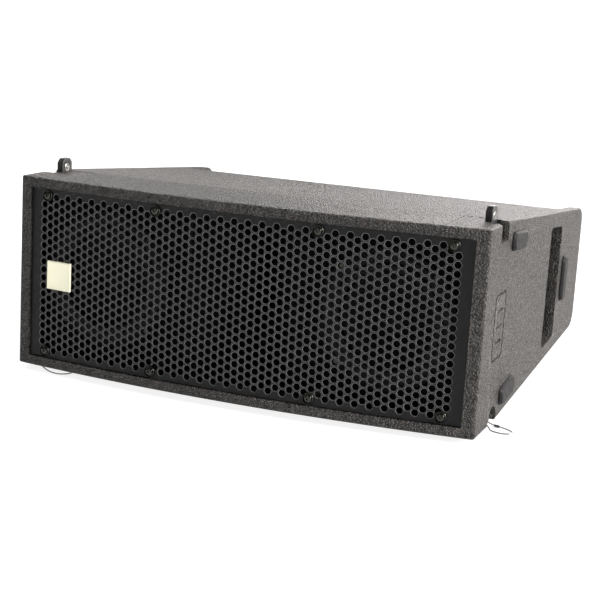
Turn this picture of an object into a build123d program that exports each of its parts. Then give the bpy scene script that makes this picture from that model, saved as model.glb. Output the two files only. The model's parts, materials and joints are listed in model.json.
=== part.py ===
from build123d import *
import os
from math import asin, cos, radians, sin, sqrt, tan

# A compact two-way line array element: a wedge cabinet with a curved steel grille, two cone woofers
# beside a centre waveguide, sliding front link bars, a rear splay link and quick-release pins.
# It stands on its sloping underside, so the cabinet's own directions lean back by WEDGE.
# Lengths are millimetres. "Cabinet frame": x to the right, y to the rear, z up along the front face,
# with the origin at the middle of the grille's foremost line.

# ---- Driving dimensions -------------------------------------------------------------------------
WIDTH = 586.0
HEIGHT = 234.0
REAR_Y = 523.0
REAR_RECESS = 100.0
CORE_CORNER_R = 4.0
LIP_Y = 99.0
WEDGE = 4.6
SIDE_T = 15.0
SKIN_T = 12.0
REAR_T = 15.0
REAR_CORNER_R = 22.0
EDGE_R = 3.0

GRILLE_R = 2080.0
GRILLE_T = 1.5
RIM_PROUD = 3.0
GRILLE_GAP = 0.8

BAFFLE_Y = 34.0
BAFFLE_T = 15.0
WOOFER_X = 178.0
WOOFER_FRAME_R = 82.5

HORN_MOUTH = (136.0, 196.0)
HORN_SLOT = (26.0, 150.0)
HORN_THROAT = 34.0
HORN_WALL = 4.0
HORN_SLOT_Y = 110.0
HORN_THROAT_Y = 165.0

LINK_X = 274.0
LINK_Y = 84.0
LINK_T = 8.0
LINK_WIDTH = 22.0
LINK_LENGTH = 90.0
LINK_RISE = 17.0
LINK_HOLE_R = 4.2
LINK_PLAY = 0.75
LINK_CHAMFER = 5.0
TUBE_WALL = 3.0
TOP_NOTCH = (79.5, 31.0)
BOTTOM_NOTCH = (90.5, 34.0)
NOTCH_DEPTH = 21.0
POCKET_WIDTH = 30.0

PIN_R = 4.0
PIN_BORE_R = 4.05
PIN_RISE = 6.0
HEAD_R = 5.5
BUTTON_R = 2.5
WIRE_R = 0.75

SLOT_Y = (325.0, 390.0)
SLOT_HALF_Z = 79.5
SLOT_CORNER_R = 8.0
CUP_DEPTH = 45.0
CUP_WALL = 3.0

BUMPER_SIZE = (60.0, 22.0)
BUMPER_CORNER_R = 8.0
BUMPER_T = 5.0
BUMPER_TAPER = 18.0
BUMPER_PLACES = ((144.0, 89.0, -WEDGE), (418.0, 0.0, 90.0), (144.0, -89.0, WEDGE))

SCREW_S = (101.5, 254.5)
SCREW_Z = 96.0
SCREW_R = 2.0
SCREW_LENGTH = 11.0
SCREW_HOLE_R = 2.8
SCREW_HEAD_R = 4.6
SCREW_HEAD_T = 2.2
SCREW_HEAD_TAPER = 20.0
SOCKET_HEX_R = 1.7
SOCKET_DEPTH = 1.6
WASHER_R = 7.0
WASHER_BORE_R = 2.4
WASHER_T = 1.2
WASHER_RING = (5.3, 6.6)
POST_R = (3.3, 5.0)
BADGE_X = -234.5
BADGE_SIZE = 35.0
BADGE_CORNER_R = 0.8
BADGE_T = 2.4
BADGE_TAPER = 12.0

TRAY_SIZE = (140.0, 138.0)
TRAY_Z = -3.0
TRAY_DEPTH = 45.0
TRAY_T = 2.0
EAR_X = 6.0
EAR_T = 3.0
EAR_Z = (-26.0, 58.0)
SPLAY_PIVOT = (400.0, 40.0)
SPLAY_REACH = 88.0
SPLAY_PITCH = 18.0
SPLAY_PARK = (386.0, -10.0)
SPLAY_HOLES = 3
NUT_R = 7.0
NUT_T = 4.0
NUT_PLAY = 0.2

PANEL_X = -150.0
PANEL_SIZE = (120.0, 100.0)
PANEL_Y = 413.0
SOCKET_SPREAD = 25.0

# ---- Derived dimensions -------------------------------------------------------------------------
HALF_W = WIDTH / 2
HALF_H = HEIGHT / 2
INNER_W = HALF_W - SIDE_T
INNER_H = HALF_H - SKIN_T
CORE_REAR_Y = REAR_Y - REAR_RECESS
EAR_REAR_Y = CORE_REAR_Y - EAR_T
SLOPE = tan(radians(WEDGE))
SEAT_Z = HALF_H * cos(radians(WEDGE)) + LIP_Y * sin(radians(WEDGE))
TOP_REAR_Z = HALF_H - (REAR_Y - LIP_Y) * SLOPE - REAR_CORNER_R
FRONT_REACH = HALF_H * sin(radians(WEDGE)) + RIM_PROUD * cos(radians(WEDGE))
REAR_REACH = REAR_Y * cos(radians(WEDGE)) + TOP_REAR_Z * sin(radians(WEDGE))
SEAT_Y = (FRONT_REACH - REAR_REACH) / 2
SEAT = Location((0, SEAT_Y, SEAT_Z), (-WEDGE, 0, 0))
CABINET = Plane(SEAT)
SIDES = (("left", -1), ("right", 1))


def seated(plane):
    """A plane of the cabinet frame, put where the standing cabinet has it."""
    return Plane(SEAT * plane.location)


def side_plane(x):
    """Sketch (y, z) of the cabinet; extrusion goes to +x."""
    return seated(Plane.YZ.offset(x))


def front_plane(y):
    """Sketch (x, z) of the cabinet; extrusion goes to the front."""
    return seated(Plane.XZ.offset(-y))


def level_plane(z):
    """Sketch (x, y) of the cabinet; extrusion goes up the front face."""
    return seated(Plane.XY.offset(z))


def grille_y(x):
    return GRILLE_R - sqrt(GRILLE_R**2 - x**2)


def skin_plane(x, z, lift=0.0):
    """Plane touching the grille's outer face at (x, z), facing out, raised by lift."""
    turn = asin(x / GRILLE_R)
    normal = (sin(turn), -cos(turn), 0)
    point = (x + lift * normal[0], grille_y(x) + lift * normal[1], z)
    return seated(Plane(origin=point, x_dir=(cos(turn), sin(turn), 0), z_dir=normal))


def save(piece, name):
    piece.part.label = name
    export_step(piece.part, f"parts/{name}.step")


def block(low, high, mode=Mode.ADD):
    """Box between two opposite corners given in the frame of the part being built."""
    with Locations(tuple((a + b) / 2 for a, b in zip(low, high))):
        Box(*(b - a for a, b in zip(low, high)), mode=mode)


def span(a, b):
    return (min(a, b), max(a, b))


def mirrored_block(sign, x_near, x_far, y_span, z_span, mode=Mode.ADD):
    """Box between two distances from the centre plane, on the side that sign names."""
    x_low, x_high = span(sign * x_near, sign * x_far)
    block((x_low, y_span[0], z_span[0]), (x_high, y_span[1], z_span[1]), mode)


def wedge_points(skin=0.0, rear=0.0, front=-20.0):
    """Side outline of the cabinet, inset by skin above and below and by rear at the back."""
    flat = HALF_H - skin
    bend = LIP_Y - skin * tan(radians(WEDGE / 2))
    back = REAR_Y - rear
    tail = flat - (back - bend) * SLOPE
    return [(front, -flat), (bend, -flat), (back, -tail), (back, tail), (bend, flat), (front, flat)]


def wedge_outline(rear=0.0, corner_r=REAR_CORNER_R):
    """Side outline of the cabinet, inset by rear at the back, its rear corners rounded."""
    with BuildSketch() as outline:
        with BuildLine():
            Polyline(*wedge_points(0.0, rear), close=True)
        make_face()
        fillet(outline.vertices().group_by(Axis.X)[-1], corner_r)
    return outline.sketch


def trim_front():
    """Keep what lies behind the curved front of the cabinet's edges."""
    with Locations((0, GRILLE_R, 0)):
        Cylinder(GRILLE_R + RIM_PROUD, 2 * HEIGHT, mode=Mode.INTERSECT)


def skin_section(y_span, z_span):
    """The part of the box's skin, as a ring in side view, that lies in the given window."""
    centre = (sum(y_span) / 2, sum(z_span) / 2)
    with BuildSketch() as section:
        add(wedge_outline(REAR_RECESS, CORE_CORNER_R))
        with BuildLine():
            Polyline(*wedge_points(SKIN_T, REAR_RECESS + REAR_T, -30.0), close=True)
        make_face(mode=Mode.SUBTRACT)
        with Locations(centre):
            Rectangle(y_span[1] - y_span[0], z_span[1] - z_span[0], mode=Mode.INTERSECT)
    return section.sketch


# ---- Cabinet ------------------------------------------------------------------------------------
PLATE_X = 240.0
PLATE_T = 4.0
PLATE_Y = (24.0, LIP_Y - 3.5)
TUBE_X = (LINK_X - LINK_T / 2 - LINK_PLAY - TUBE_WALL, LINK_X + LINK_T / 2 + LINK_PLAY + TUBE_WALL)
TUBE_HALF_Y = LINK_WIDTH / 2 + LINK_PLAY + TUBE_WALL
POCKET_Y = (LINK_Y - POCKET_WIDTH / 2, LINK_Y + POCKET_WIDTH / 2)
REAR_SEAM_Y = CORE_REAR_Y - REAR_T - 10.0
CUT_PLAY = 0.25
PLATE_PLAY = 0.5
POCKET_PLAY = 1.0
LEDGE = (11.0, 16.0)


def skin_panel(up):
    """Top (up = 1) or bottom (up = -1) panel with the openings of the rigging tubes."""
    section = skin_section((-20.0, REAR_SEAM_Y), span(0.0, up * (HALF_H + 1)))
    with BuildPart(CABINET) as panel:
        with BuildSketch(side_plane(-INNER_W)):
            add(section)
        extrude(amount=2 * INNER_W)
        trim_front()
        for _, sign in SIDES:
            tube_y = (LINK_Y - TUBE_HALF_Y - CUT_PLAY, LINK_Y + TUBE_HALF_Y + CUT_PLAY)
            through = span(up * (INNER_H - 1), up * (HALF_H + 1))
            mirrored_block(sign, TUBE_X[0] - CUT_PLAY, INNER_W + 1, tube_y, through, Mode.SUBTRACT)
            if up > 0:
                recess = (HALF_H - PLATE_T, HALF_H + 1)
                mirrored_block(sign, PLATE_X - PLATE_PLAY, INNER_W + 1, (PLATE_Y[0] - PLATE_PLAY, LIP_Y),
                               recess, Mode.SUBTRACT)
    return panel


def slot_outline(grow=0.0):
    """Outline of the handle slot in side view, its ends parallel to the cabinet's sloping edges."""
    near, far = SLOT_Y[0] - grow, SLOT_Y[1] + grow
    tall = SLOT_HALF_Z + grow
    short = tall - (far - near) * SLOPE
    with BuildSketch() as outline:
        with BuildLine():
            Polyline((near, -tall), (far, -short), (far, short), (near, tall), close=True)
        make_face()
        fillet(outline.vertices(), SLOT_CORNER_R + grow)
    return outline.sketch


def side_panel(sign):
    """Side panel with the handle slot, the two finger notches and the routed tube pocket."""
    inner = sign * INNER_W
    outer = sign * HALF_W
    outline = wedge_outline()
    slot = slot_outline()
    with BuildPart(CABINET) as panel:
        with BuildSketch(side_plane(min(inner, outer))):
            add(outline)
        extrude(amount=SIDE_T)
        trim_front()
        face = panel.faces().sort_by(Axis.X)[-1 if sign > 0 else 0]
        fillet(face.edges(), EDGE_R)
        with BuildSketch(side_plane(min(inner, outer) - 1)):
            add(slot)
            with Locations((TOP_NOTCH[0], HALF_H)):
                RectangleRounded(TOP_NOTCH[1], 2 * NOTCH_DEPTH, EDGE_R)
            with Locations((BOTTOM_NOTCH[0], -HALF_H)):
                SlotOverall(2 * NOTCH_DEPTH, BOTTOM_NOTCH[1], rotation=90)
        extrude(amount=SIDE_T + 2, mode=Mode.SUBTRACT)
        mirrored_block(sign, INNER_W - 1, TUBE_X[1] + CUT_PLAY, POCKET_Y, (-HALF_H - 1, HALF_H + 1),
                       Mode.SUBTRACT)
    return panel


def rear_panel():
    """Rear panel with its rounded corners, the tray opening and the connector pocket."""
    section = skin_section((REAR_SEAM_Y, CORE_REAR_Y + 1), (-HALF_H, HALF_H))
    tray_half = (TRAY_SIZE[0] / 2 + CUT_PLAY, TRAY_SIZE[1] / 2 + CUT_PLAY)
    with BuildPart(CABINET) as panel:
        with BuildSketch(side_plane(-INNER_W)):
            add(section)
        extrude(amount=2 * INNER_W)
        block((-tray_half[0], REAR_SEAM_Y - 1, TRAY_Z - tray_half[1]),
              (tray_half[0], CORE_REAR_Y + 1, TRAY_Z + tray_half[1]), Mode.SUBTRACT)
        half = (PANEL_SIZE[0] / 2 + POCKET_PLAY, PANEL_SIZE[1] / 2 + POCKET_PLAY)
        block((PANEL_X - half[0], PANEL_Y, -half[1]), (PANEL_X + half[0], CORE_REAR_Y + 1, half[1]),
              Mode.SUBTRACT)
        block((PANEL_X - half[0] + LEDGE[0], REAR_SEAM_Y - 1, LEDGE[1] - half[1]),
              (PANEL_X + half[0] - LEDGE[0], CORE_REAR_Y + 1, half[1] - LEDGE[1]), Mode.SUBTRACT)
    return panel


FRAME_T = 3.0
BAFFLE_HOLE_R = 73.0
WOOD_SCREW_R = 2.0
WOOFER_SCREW_RING_R = 78.7
WOOFER_SCREW_PLACES = [(sign * WOOFER_X + WOOFER_SCREW_RING_R * cos(radians(angle)),
                        WOOFER_SCREW_RING_R * sin(radians(angle)))
                       for sign in (-1, 1) for angle in (45, 135, 225, 315)]


def front_baffle():
    with BuildPart() as baffle:
        with BuildSketch(front_plane(BAFFLE_Y)):
            Rectangle(2 * INNER_W, 2 * INNER_H)
            with Locations((-WOOFER_X, 0), (WOOFER_X, 0)):
                Circle(BAFFLE_HOLE_R, mode=Mode.SUBTRACT)
            Rectangle(HORN_MOUTH[0] + 2 * HORN_WALL, HORN_MOUTH[1] + 2 * HORN_WALL, mode=Mode.SUBTRACT)
            with Locations(*WOOFER_SCREW_PLACES):
                Circle(WOOD_SCREW_R, mode=Mode.SUBTRACT)
        extrude(amount=-BAFFLE_T)
    return baffle


DIVIDER_REAR_Y = 344.0
DIVIDER_T = 10.0
DIVIDER_NEAR_X = HORN_MOUTH[0] / 2 + 12.0


def divider(sign):
    """Board that parts the horn chamber from a woofer chamber."""
    with BuildPart(CABINET) as board:
        with BuildSketch(side_plane(sign * DIVIDER_NEAR_X)):
            with BuildLine():
                Polyline(*wedge_points(SKIN_T, REAR_Y - DIVIDER_REAR_Y, BAFFLE_Y + BAFFLE_T), close=True)
            make_face()
        extrude(amount=sign * DIVIDER_T)
    return board


def handle_cup(sign):
    """Five-sided cup behind the handle slot."""
    outer = slot_outline(CUP_WALL)
    inner = slot_outline()
    with BuildPart() as cup:
        with BuildSketch(side_plane(sign * INNER_W)):
            add(outer)
        extrude(amount=-sign * CUP_DEPTH)
        with BuildSketch(side_plane(sign * INNER_W)):
            add(inner)
        extrude(amount=-sign * (CUP_DEPTH - CUP_WALL), mode=Mode.SUBTRACT)
    return cup


def side_bumpers(sign):
    """Three rubber bumpers on one side panel, their outer edges chamfered."""
    with BuildPart() as bumpers:
        for y, z, turn in BUMPER_PLACES:
            with BuildSketch(side_plane(sign * HALF_W)):
                with Locations(Location((y, z, 0), turn)):
                    RectangleRounded(*BUMPER_SIZE, BUMPER_CORNER_R)
            extrude(amount=sign * BUMPER_T, taper=BUMPER_TAPER)
    return bumpers


# ---- Grille and its fixings ---------------------------------------------------------------------
SCREW_PLACES = [(GRILLE_R * sin(sign * s / GRILLE_R), up * SCREW_Z)
                for s in SCREW_S for sign in (-1, 1) for up in (-1, 1)]


def grille():
    half_w = INNER_W - GRILLE_GAP
    half_h = INNER_H - GRILLE_GAP
    with BuildPart() as sheet:
        with BuildSketch(level_plane(-half_h)):
            with Locations((0, GRILLE_R)):
                Circle(GRILLE_R)
                Circle(GRILLE_R - GRILLE_T, mode=Mode.SUBTRACT)
            Rectangle(2 * half_w, 2 * BAFFLE_Y, mode=Mode.INTERSECT)
        extrude(amount=2 * half_h)
        for x, z in SCREW_PLACES:
            with BuildSketch(skin_plane(x, z, GRILLE_T)):
                Circle(SCREW_HOLE_R)
            extrude(amount=-4 * GRILLE_T, mode=Mode.SUBTRACT)
    return sheet


def grille_screws():
    with BuildPart() as screws:
        for x, z in SCREW_PLACES:
            with BuildSketch(skin_plane(x, z, WASHER_T)):
                Circle(SCREW_HEAD_R)
            extrude(amount=SCREW_HEAD_T, taper=SCREW_HEAD_TAPER)
            with BuildSketch(skin_plane(x, z, WASHER_T)):
                Circle(SCREW_R)
            extrude(amount=-SCREW_LENGTH)
            with BuildSketch(skin_plane(x, z, WASHER_T + SCREW_HEAD_T)):
                RegularPolygon(SOCKET_HEX_R, 6)
            extrude(amount=-SOCKET_DEPTH, mode=Mode.SUBTRACT)
    return screws


def grille_washers():
    """Cup washers under the screw heads."""
    with BuildPart() as washers:
        for x, z in SCREW_PLACES:
            with BuildSketch(skin_plane(x, z)):
                Circle(WASHER_R)
                Circle(WASHER_BORE_R, mode=Mode.SUBTRACT)
            extrude(amount=WASHER_T)
            with BuildSketch(skin_plane(x, z, WASHER_T)):
                Circle(WASHER_RING[1])
                Circle(WASHER_RING[0], mode=Mode.SUBTRACT)
            extrude(amount=WASHER_T)
    return washers


def grille_posts():
    """Turned posts from the baffle to the back of the grille."""
    with BuildPart() as posts:
        for x, z in SCREW_PLACES:
            with BuildSketch(front_plane(BAFFLE_Y)):
                with Locations((x, z)):
                    Circle(POST_R[1])
                    Circle(POST_R[0], mode=Mode.SUBTRACT)
            extrude(amount=BAFFLE_Y - grille_y(abs(x) + POST_R[1]) - GRILLE_T)
    return posts


def badge():
    """Plain square plate, its front edge chamfered."""
    with BuildPart() as plate:
        with BuildSketch(skin_plane(BADGE_X, 0)):
            RectangleRounded(BADGE_SIZE, BADGE_SIZE, BADGE_CORNER_R)
        extrude(amount=BADGE_T, taper=BADGE_TAPER)
    return plate


# ---- Woofers ------------------------------------------------------------------------------------
CONE_R = 54.6
CONE_FRONT_Y = 33.0
CONE_BACK_Y = 66.0
CONE_T = 1.0
FORMER_R = (15.6, 16.6)
FORMER_END_Y = 98.0
ROLL_R = 5.5
ROLL_T = 1.0
ROLL_MID_R = 61.2
FLANGE_WIDTH = 8.8
BASKET_R = (66.0, 71.0)
BASKET_Y = 46.0
BASKET_BACK = (24.0, 46.0)
BASKET_BACK_Y = 80.0
SPOKES = 6
SPOKE_WIDTH = 12.0
SPOKE_OUTLINE = ((67.0, 44.0), (71.0, 44.0), (46.0, 80.0), (46.0, 84.0), (40.0, 84.0), (40.0, 79.0))
PLATE_FRONT_Y = 84.0
MAGNET_Y = (90.0, 106.0)
MAGNET_R = (22.0, 50.0)
POLE_R = 14.4
POLE_Y = 86.0
BACK_PLATE_Y = 112.0
METAL_PLATE_R = (18.4, 45.0)
AXIS_R = 0.01
CAP_R = 22.0
CAP_RIM_Y = 58.6
CAP_APEX_Y = 51.5
CAP_MID = (11.6, 53.2)
CAP_INNER_MID = (11.4, 54.2)
SPIDER_R = (17.4, 39.5)
SPIDER_FOLDS_R = (21.0, 24.0, 27.0, 30.0, 33.0, 36.0)
SPIDER_Y = (77.5, 75.5)
SPIDER_EDGE_Y = 79.0
SPIDER_T = 0.8
WOOFER_HEAD_R = 3.6
WOOFER_HEAD_T = 2.4
WOOFER_HEAD_TAPER = 15.0
WOOFER_SCREW_LENGTH = 14.0


def woofer_line(sign):
    start = CABINET.from_local_coords(Vector(sign * WOOFER_X, 0, 0))
    end = CABINET.from_local_coords(Vector(sign * WOOFER_X, 1, 0))
    return Axis(start, end - start)


def turned(sign, *loops):
    """Turn closed (radius, depth) outlines about one woofer's axis."""
    with BuildPart() as piece:
        with BuildSketch(seated(Plane(origin=(sign * WOOFER_X, 0, 0), x_dir=(1, 0, 0), z_dir=(0, 0, 1)))):
            for loop in loops:
                with BuildLine():
                    Polyline(*loop, close=True)
                make_face()
        revolve(axis=woofer_line(sign))
    return piece


def rect(r0, r1, y0, y1):
    return [(r0, y0), (r1, y0), (r1, y1), (r0, y1)]


def woofer_basket(sign):
    """Pressed frame: mounting ring, wall, spokes and the plate that carries the magnet."""
    pressing = turned(sign, rect(BASKET_R[0], WOOFER_FRAME_R, BAFFLE_Y - FRAME_T, BAFFLE_Y),
                      rect(*BASKET_R, BAFFLE_Y, BASKET_Y), rect(*BASKET_BACK, BASKET_BACK_Y, PLATE_FRONT_Y))
    with BuildPart() as basket:
        add(pressing.part)
        for index in range(SPOKES):
            angle = 360 / SPOKES * (index + 0.5)
            spoke = Plane(origin=(sign * WOOFER_X, 0, 0), x_dir=(cos(radians(angle)), 0, sin(radians(angle))),
                          z_dir=(-sin(radians(angle)), 0, cos(radians(angle))))
            with BuildSketch(seated(spoke.offset(-SPOKE_WIDTH / 2))):
                with BuildLine():
                    Polyline(*SPOKE_OUTLINE, close=True)
                make_face()
            extrude(amount=SPOKE_WIDTH)
        with BuildSketch(front_plane(BAFFLE_Y)):
            with Locations(*WOOFER_SCREW_PLACES):
                Circle(WOOD_SCREW_R + 0.2)
        extrude(amount=FRAME_T, mode=Mode.SUBTRACT)
    return basket


def woofer_magnet(sign):
    """Front plate, ring magnet, back plate and pole piece, with the voice coil's gap left open."""
    plate_r = METAL_PLATE_R[1]
    return turned(sign, rect(*METAL_PLATE_R, PLATE_FRONT_Y, MAGNET_Y[0]), rect(*MAGNET_R, *MAGNET_Y),
                  [(AXIS_R, POLE_Y), (POLE_R, POLE_Y), (POLE_R, MAGNET_Y[1]), (plate_r, MAGNET_Y[1]),
                   (plate_r, BACK_PLATE_Y), (AXIS_R, BACK_PLATE_Y)])


def woofer_surround(sign):
    """Half-roll rubber surround with the flange glued to the frame."""
    face_y = BAFFLE_Y - FRAME_T
    with BuildPart() as ring:
        with BuildSketch(seated(Plane(origin=(sign * WOOFER_X, 0, 0), x_dir=(1, 0, 0), z_dir=(0, 0, 1)))):
            with Locations((ROLL_MID_R, face_y)):
                Circle(ROLL_R)
                Circle(ROLL_R - ROLL_T, mode=Mode.SUBTRACT)
            with Locations((ROLL_MID_R, face_y + ROLL_R)):
                Rectangle(4 * ROLL_R, 2 * ROLL_R, mode=Mode.SUBTRACT)
            with Locations((ROLL_MID_R + ROLL_R - ROLL_T + FLANGE_WIDTH / 2, face_y - ROLL_T / 2)):
                Rectangle(FLANGE_WIDTH, ROLL_T)
        revolve(axis=woofer_line(sign))
    return ring


def woofer_cone(sign):
    """Paper cone with the voice coil former; it moves."""
    inner_r, outer_r = FORMER_R
    return turned(sign,
                  [(CONE_R, CONE_FRONT_Y), (CONE_R, CONE_FRONT_Y + CONE_T), (outer_r, CONE_BACK_Y + CONE_T),
                   (outer_r, FORMER_END_Y), (inner_r, FORMER_END_Y), (inner_r, CONE_BACK_Y - CONE_T),
                   (CONE_R - 2 * CONE_T, CONE_FRONT_Y)])


def dust_cap(sign):
    """Shallow dome glued over the voice coil."""
    rim = (CAP_R, CAP_RIM_Y)
    apex = (AXIS_R, CAP_APEX_Y)
    edge = (CAP_R, CAP_RIM_Y + CONE_T)
    inner_apex = (AXIS_R, CAP_APEX_Y + CONE_T)
    with BuildPart() as cap:
        with BuildSketch(seated(Plane(origin=(sign * WOOFER_X, 0, 0), x_dir=(1, 0, 0), z_dir=(0, 0, 1)))):
            with BuildLine():
                ThreePointArc(apex, CAP_MID, rim)
                Line(rim, edge)
                ThreePointArc(edge, CAP_INNER_MID, inner_apex)
                Line(inner_apex, apex)
            make_face()
        revolve(axis=woofer_line(sign))
    return cap


def woofer_spider(sign):
    """Corrugated centring disc between the frame and the former."""
    face = [(SPIDER_R[0], SPIDER_Y[0])]
    face += [(radius, SPIDER_Y[index % 2]) for index, radius in enumerate(SPIDER_FOLDS_R)]
    face += [(SPIDER_R[1], SPIDER_EDGE_Y)]
    back = [(radius, depth + SPIDER_T) for radius, depth in reversed(face)]
    return turned(sign, face + back)


def woofer_screws():
    with BuildPart() as screws:
        for x, z in WOOFER_SCREW_PLACES:
            with BuildSketch(front_plane(BAFFLE_Y - FRAME_T)):
                with Locations((x, z)):
                    Circle(WOOFER_HEAD_R)
            extrude(amount=WOOFER_HEAD_T, taper=WOOFER_HEAD_TAPER)
            with BuildSketch(front_plane(BAFFLE_Y - FRAME_T)):
                with Locations((x, z)):
                    Circle(WOOD_SCREW_R)
            extrude(amount=-WOOFER_SCREW_LENGTH)
    return screws


# ---- Waveguide and compression driver -----------------------------------------------------------
DRIVER_FLANGE = (46.0, 10.0)
DRIVER_MAGNET = (55.0, 36.0)
DRIVER_CAP = (42.0, 12.0)
DRIVER_CAP_TAPER = 10.0


def waveguide():
    with BuildPart() as horn:
        for grow, mode in ((HORN_WALL, Mode.ADD), (0.0, Mode.SUBTRACT)):
            with BuildSketch(front_plane(BAFFLE_Y)) as mouth:
                Rectangle(HORN_MOUTH[0] + 2 * grow, HORN_MOUTH[1] + 2 * grow)
            with BuildSketch(front_plane(HORN_SLOT_Y)) as slot:
                Rectangle(HORN_SLOT[0] + 2 * grow, HORN_SLOT[1] + 2 * grow)
            with BuildSketch(front_plane(HORN_THROAT_Y)) as throat:
                Rectangle(HORN_THROAT + 2 * grow, HORN_THROAT + 2 * grow)
            loft(sections=[mouth.sketch, slot.sketch], mode=mode)
            loft(sections=[slot.sketch, throat.sketch], mode=mode)
    return horn


def compression_driver():
    magnet_y = HORN_THROAT_Y + DRIVER_FLANGE[1]
    with BuildPart() as driver:
        with BuildSketch(front_plane(HORN_THROAT_Y)):
            Circle(DRIVER_FLANGE[0])
            Circle(HORN_THROAT / 2, mode=Mode.SUBTRACT)
        extrude(amount=-DRIVER_FLANGE[1])
        with BuildSketch(front_plane(magnet_y)):
            Circle(DRIVER_MAGNET[0])
        extrude(amount=-DRIVER_MAGNET[1])
        with BuildSketch(front_plane(magnet_y + DRIVER_MAGNET[1])):
            Circle(DRIVER_CAP[0])
        extrude(amount=-DRIVER_CAP[1], taper=DRIVER_CAP_TAPER)
    return driver


# ---- Crossover ----------------------------------------------------------------------------------
BOARD_X = 152.0
BOARD_SIZE = (150.0, 110.0)
BOARD_Y = 382.0
BOARD_T = 2.0
BOARD_CORNER_R = 3.0
SPACER_R = 4.0
SPACER_INSET = 14.0
PART_FACE_Y = BOARD_Y - BOARD_T
COIL_PLACES = ((-15.0, 28.0), (30.0, 28.0))
COIL_R = (8.0, 19.0)
COIL_HEIGHT = 18.0
CAPACITOR_PLACES = ((-22.0, -28.0), (2.0, -28.0), (26.0, -28.0))
CAPACITOR_R = 9.0
CAPACITOR_HEIGHT = 32.0
RESISTOR_PLACES = ((-58.0, 0.0), (-40.0, 0.0), (58.0, 0.0))
RESISTOR_SIZE = (10.0, 44.0, 10.0)
LINING_Y = 212.0
LINING_SIZE = (190.0, 150.0)
LINING_CORNER_R = 12.0
LINING_T = 20.0


def standing_cylinders(places, radius, height, bore=0.0):
    """Round components that stand on the front of the crossover board."""
    with BuildPart() as group:
        for x, z in places:
            with BuildSketch(front_plane(PART_FACE_Y)):
                with Locations((BOARD_X + x, z)):
                    Circle(radius)
                    if bore:
                        Circle(bore, mode=Mode.SUBTRACT)
            extrude(amount=height)
    return group


def crossover_board():
    """Circuit board on four spacers that stand on the rear panel."""
    with BuildPart() as board:
        with BuildSketch(front_plane(BOARD_Y)):
            with Locations((BOARD_X, 0)):
                RectangleRounded(*BOARD_SIZE, BOARD_CORNER_R)
        extrude(amount=BOARD_T)
        with BuildSketch(front_plane(BOARD_Y)):
            with Locations((BOARD_X, 0)):
                with GridLocations(BOARD_SIZE[0] - SPACER_INSET, BOARD_SIZE[1] - SPACER_INSET, 2, 2):
                    Circle(SPACER_R)
        extrude(amount=BOARD_Y - (CORE_REAR_Y - REAR_T))
    return board


def crossover_resistors():
    with BuildPart() as group:
        with BuildSketch(front_plane(PART_FACE_Y)):
            with Locations((BOARD_X, 0)):
                with Locations(*RESISTOR_PLACES):
                    Rectangle(*RESISTOR_SIZE[:2])
        extrude(amount=RESISTOR_SIZE[2])
    return group


def cabinet_lining():
    """Felt pads glued inside the side panels, between the rigging tubes and the handle cups."""
    with BuildPart() as pads:
        for _, sign in SIDES:
            with BuildSketch(side_plane(sign * INNER_W)):
                with Locations((LINING_Y, 0)):
                    RectangleRounded(*LINING_SIZE, LINING_CORNER_R)
            extrude(amount=-sign * LINING_T)
    return pads


# ---- Rear connector panel -----------------------------------------------------------------------
SOCKET_X = (PANEL_X - SOCKET_SPREAD, PANEL_X + SOCKET_SPREAD)
SOCKET_BORE_R = 11.0
SOCKET_BORE_DEPTH = 20.0
SOCKET_FLANGE = (30.0, 34.0)
SOCKET_FLANGE_T = 2.5
BARREL_R = 12.2
BARREL_LENGTH = 24.0
BARREL_HOLE_R = 12.4
PANEL_T = 2.0
PANEL_CORNER_R = 4.0
PANEL_FACE_Y = PANEL_Y + PANEL_T
SOCKET_FACE_Y = PANEL_FACE_Y + SOCKET_FLANGE_T
PANEL_SCREW_R = 3.0
PANEL_SCREW_INSET = 12.0
FLANGE_SCREW_R = 2.4
FLANGE_SCREW_PLACE = (11.0, 13.0)
LOW_HEAD_T = 1.6
LOW_HEAD_TAPER = 15.0


def connector_plate():
    with BuildPart() as plate:
        with BuildSketch(front_plane(PANEL_FACE_Y)):
            with Locations((PANEL_X, 0)):
                RectangleRounded(*PANEL_SIZE, PANEL_CORNER_R)
            with Locations(*((x, 0) for x in SOCKET_X)):
                Circle(BARREL_HOLE_R, mode=Mode.SUBTRACT)
        extrude(amount=PANEL_T)
    return plate


def connector_socket(x):
    """Round twist-lock socket: flange and a barrel with a blind bore."""
    with BuildPart() as socket:
        with BuildSketch(front_plane(SOCKET_FACE_Y)):
            with Locations((x, 0)):
                RectangleRounded(*SOCKET_FLANGE, PANEL_CORNER_R)
        extrude(amount=SOCKET_FLANGE_T)
        with BuildSketch(front_plane(PANEL_FACE_Y)):
            with Locations((x, 0)):
                Circle(BARREL_R)
        extrude(amount=BARREL_LENGTH)
        with BuildSketch(front_plane(SOCKET_FACE_Y)):
            with Locations((x, 0)):
                Circle(SOCKET_BORE_R)
        extrude(amount=SOCKET_BORE_DEPTH, mode=Mode.SUBTRACT)
    return socket


def panel_screws():
    """Four screws of the connector plate and four of the sockets' flanges."""
    inset = (PANEL_SIZE[0] - PANEL_SCREW_INSET, PANEL_SIZE[1] - PANEL_SCREW_INSET)
    with BuildPart() as screws:
        with BuildSketch(front_plane(PANEL_FACE_Y)):
            with Locations((PANEL_X, 0)):
                with GridLocations(*inset, 2, 2):
                    Circle(PANEL_SCREW_R)
        extrude(amount=-LOW_HEAD_T, taper=LOW_HEAD_TAPER)
        for x in SOCKET_X:
            across, up = FLANGE_SCREW_PLACE
            with BuildSketch(front_plane(SOCKET_FACE_Y)):
                with Locations((x - across, up), (x + across, -up)):
                    Circle(FLANGE_SCREW_R)
            extrude(amount=-LOW_HEAD_T, taper=LOW_HEAD_TAPER)
    return screws


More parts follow.
